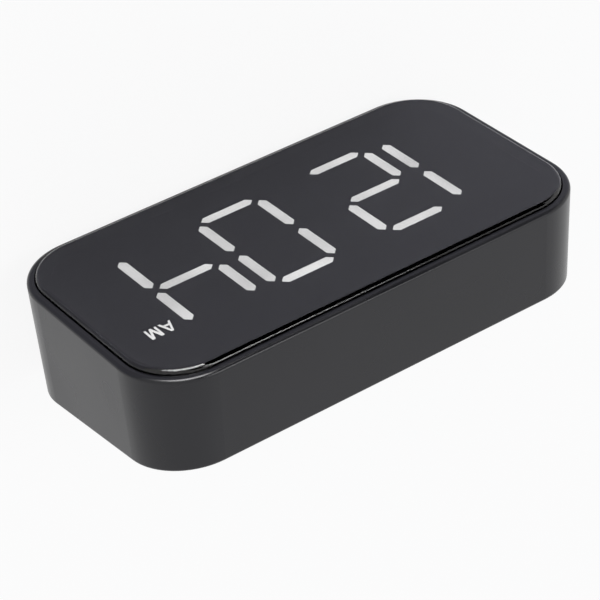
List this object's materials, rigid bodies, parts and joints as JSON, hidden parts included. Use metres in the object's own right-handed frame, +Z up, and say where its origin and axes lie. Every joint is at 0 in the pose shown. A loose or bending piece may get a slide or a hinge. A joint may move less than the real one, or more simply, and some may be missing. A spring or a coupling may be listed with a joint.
{
  "type": "digital led desk clock",
  "caption": "Low wedge-backed desk clock with a gloss dark panel showing lit bar digits, a drafted black case, rear setting buttons, a supply inlet and a tilting battery door.",
  "frame": {"origin": "middle of the box round the clock, on the surface under its feet", "axes": "+X to the right of the face, -Y the way the face looks, +Z up"},
  "size_m": [0.15, 0.0399, 0.0796],
  "materials": {
    "case_black": "fine moulded texture, semi-gloss",
    "panel_smoke": "polished smoked acrylic",
    "tape_black": "foam adhesive tape",
    "box_black": "matt moulded black",
    "lamp_lit": "lit milky diffuser",
    "lamp_dark": "unlit smoked diffuser",
    "insert_black": "black-faced window block",
    "board_green": "green solder mask",
    "led_white": "white lamp package",
    "chip_black": "moulded epoxy",
    "socket_white": "moulded nylon",
    "ribbon_white": "flat cable film",
    "screw_steel": "zinc plated",
    "can_metal": "drawn can",
    "capacitor_sleeve": "shrink sleeve",
    "switch_black": "moulded switch body",
    "shell_metal": "drawn shell",
    "tongue_black": "moulded contact tongue",
    "buzzer_black": "moulded can",
    "cell_wrap": "printed wrap over a steel can",
    "contact_metal": "nickel plated strip",
    "lead_red": "insulated wire",
    "foot_rubber": "moulded rubber",
    "button_grey": "moulded cap",
    "plunger_black": "moulded plunger"
  },
  "bodies": {
    "clock": {"rear_case": "case_black", "front_panel": "panel_smoke", "panel_tape": "tape_black", "light_box": "box_black", "lit_segments": "lamp_lit", "am_mark": "lamp_lit", "unlit_segments": "lamp_dark", "colon_dots": "lamp_dark", "mark_insert": "insert_black", "display_board": "board_green", "control_board": "board_green", "segment_leds": "led_white", "driver_chip": "chip_black", "control_chip": "chip_black", "display_socket": "socket_white", "control_socket": "socket_white", "link_ribbon": "ribbon_white", "display_board_screws": "screw_steel", "control_board_screws": "screw_steel", "case_screws": "screw_steel", "clock_crystal": "can_metal", "capacitors": "capacitor_sleeve", "tact_switches": "switch_black", "power_socket": "shell_metal", "socket_tongue": "tongue_black", "buzzer": "buzzer_black", "aaa_cells": "cell_wrap", "bridge_contacts": "contact_metal", "end_contacts": "contact_metal", "battery_leads": "lead_red", "rubber_feet": "foot_rubber"},
    "set_key": {"set_button": "button_grey", "set_plunger": "plunger_black"},
    "mode_key": {"mode_button": "button_grey", "mode_plunger": "plunger_black"},
    "alarm_key": {"alarm_button": "button_grey", "alarm_plunger": "plunger_black"},
    "up_key": {"up_button": "button_grey", "up_plunger": "plunger_black"},
    "down_key": {"down_button": "button_grey", "down_plunger": "plunger_black"},
    "door": {"battery_door": "case_black"}
  },
  "joints": [
    {"name": "set_press", "type": "slide", "parent": "clock", "child": "set_key", "axis": [0, -0.9975, -0.0711], "range_m": [0, 0.0005], "stiffness_N_per_m": 800, "springref_m": -0.002},
    {"name": "mode_press", "type": "slide", "parent": "clock", "child": "mode_key", "axis": [0, -0.9975, -0.0711], "range_m": [0, 0.0005], "stiffness_N_per_m": 800, "springref_m": -0.002},
    {"name": "alarm_press", "type": "slide", "parent": "clock", "child": "alarm_key", "axis": [0, -0.9975, -0.0711], "range_m": [0, 0.0005], "stiffness_N_per_m": 800, "springref_m": -0.002},
    {"name": "up_press", "type": "slide", "parent": "clock", "child": "up_key", "axis": [0, -0.9975, -0.0711], "range_m": [0, 0.0005], "stiffness_N_per_m": 800, "springref_m": -0.002},
    {"name": "down_press", "type": "slide", "parent": "clock", "child": "down_key", "axis": [0, -0.9975, -0.0711], "range_m": [0, 0.0005], "stiffness_N_per_m": 800, "springref_m": -0.002},
    {"name": "door_tilt", "type": "hinge", "parent": "clock", "child": "door", "pos_m": [0, 0.01959, 0.0062], "axis": [-1, 0, 0], "range_deg": [0, 75]}
  ]
}
